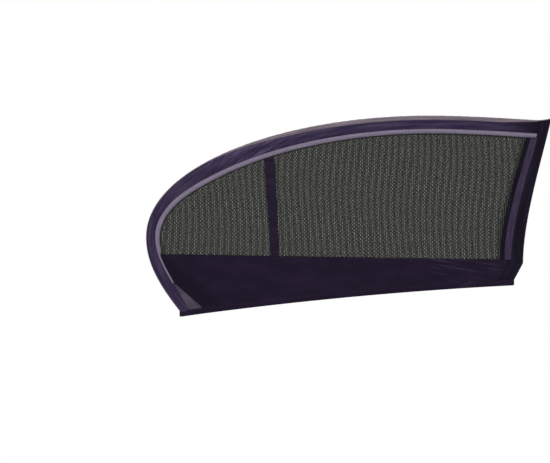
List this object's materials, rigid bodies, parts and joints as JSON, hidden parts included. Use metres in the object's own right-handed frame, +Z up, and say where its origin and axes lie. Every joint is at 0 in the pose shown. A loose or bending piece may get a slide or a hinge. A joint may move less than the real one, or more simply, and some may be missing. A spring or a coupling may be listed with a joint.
{
  "type": "car side window sunshade",
  "caption": "Stretch cloth sleeve that slips over a car's rear side window frame, with netted walls, a padded piping round the window, a solid skirt and an elastic hem.",
  "frame": {"origin": "inside the edge band at the highest point of the arch, in the middle of the pocket, where the door's window frame carries the shade", "axes": "+X towards the car's front, -Y towards the cabin (the side the picture shows), +Z up"},
  "size_m": [1.0189, 0.0596, 0.5059],
  "materials": {
    "border_cloth": "dark purple knitted stretch cloth",
    "skirt_cloth": "dark purple stretch cloth, matt",
    "edge_cloth": "mauve brushed stretch cloth",
    "piping_cloth": "grey padded piping",
    "trim_cloth": "purple tape",
    "gusset_cloth": "grey-mauve cloth",
    "net_cloth": "charcoal knitted net, see-through",
    "elastic": "flat elastic tape"
  },
  "bodies": {
    "root": {"front_net": "net_cloth", "rear_net": "net_cloth", "edge_band": "edge_cloth", "front_edge_band": "border_cloth", "arch_border": "border_cloth", "front_edge_border": "border_cloth", "rear_arch_border": "border_cloth", "rear_front_edge_border": "border_cloth", "window_piping": "piping_cloth", "front_edge_trim": "trim_cloth", "front_edge_binding": "border_cloth", "divider_strap": "border_cloth", "front_skirt": "skirt_cloth", "rear_skirt": "skirt_cloth", "corner_gusset": "gusset_cloth", "hem": "skirt_cloth", "hem_elastic": "elastic"}
  },
  "joints": []
}
